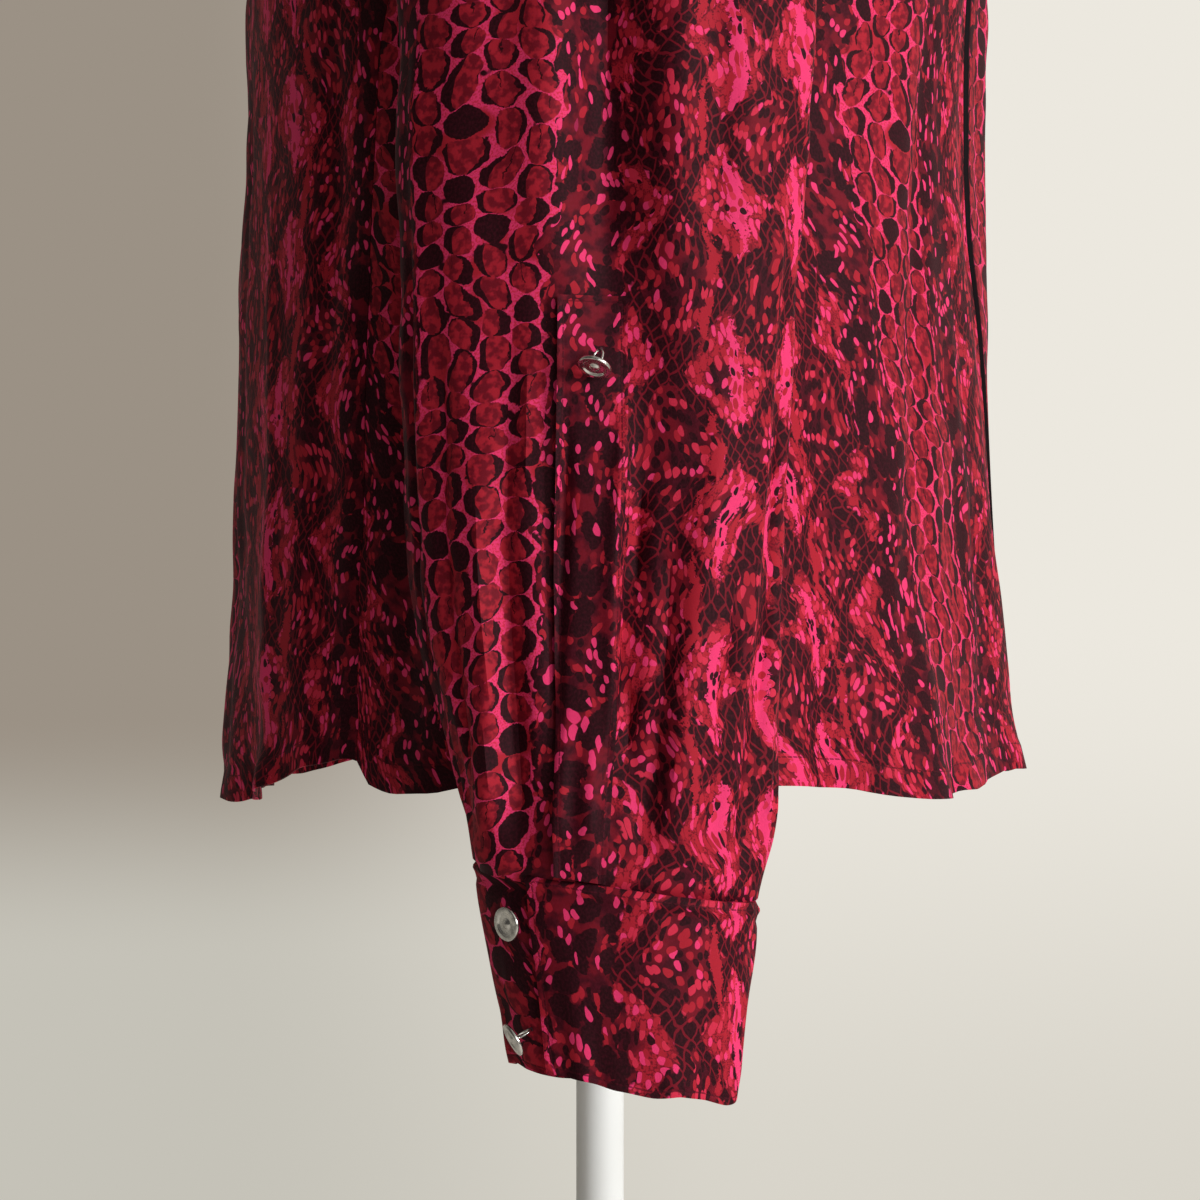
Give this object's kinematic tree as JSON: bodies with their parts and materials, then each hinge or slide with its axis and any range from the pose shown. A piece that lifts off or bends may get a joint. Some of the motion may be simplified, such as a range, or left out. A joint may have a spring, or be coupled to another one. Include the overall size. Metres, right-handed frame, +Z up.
{
  "type": "blouse on dress form",
  "caption": "Hip-length button-down blouse in snake-print cloth with deep unbuttoned cuffs, hanging on a limbless dress form with a pole and round base.",
  "frame": {"origin": "on the floor, under the middle of the stand's round base", "axes": "+Z up, -Y the wearer's front, -X the wearer's right"},
  "size_m": [0.519, 0.3332, 1.4493],
  "materials": {
    "print_cloth": "soft viscose twill with a mild sheen, snake-scale print in black, burgundy, red and pink",
    "silver_metal": "polished silver-coloured metal",
    "form_cloth": "matt stretched jersey",
    "painted_steel": "satin light grey paint"
  },
  "bodies": {
    "root": {"back": "print_cloth", "right_front": "print_cloth", "left_front": "print_cloth", "front_placket": "print_cloth", "button_band": "print_cloth", "right_sleeve": "print_cloth", "left_sleeve": "print_cloth", "right_gauntlet": "print_cloth", "left_gauntlet": "print_cloth", "right_cuff": "print_cloth", "left_cuff": "print_cloth", "collar_stand": "print_cloth", "collar": "print_cloth", "right_cuff_button_1": "silver_metal", "left_cuff_button_1": "silver_metal", "right_cuff_button_2": "silver_metal", "left_cuff_button_2": "silver_metal", "right_gauntlet_button": "silver_metal", "left_gauntlet_button": "silver_metal", "collar_button": "silver_metal", "form_torso": "form_cloth", "form_cap": "painted_steel", "form_pole": "painted_steel", "form_base": "painted_steel"}
  },
  "joints": []
}
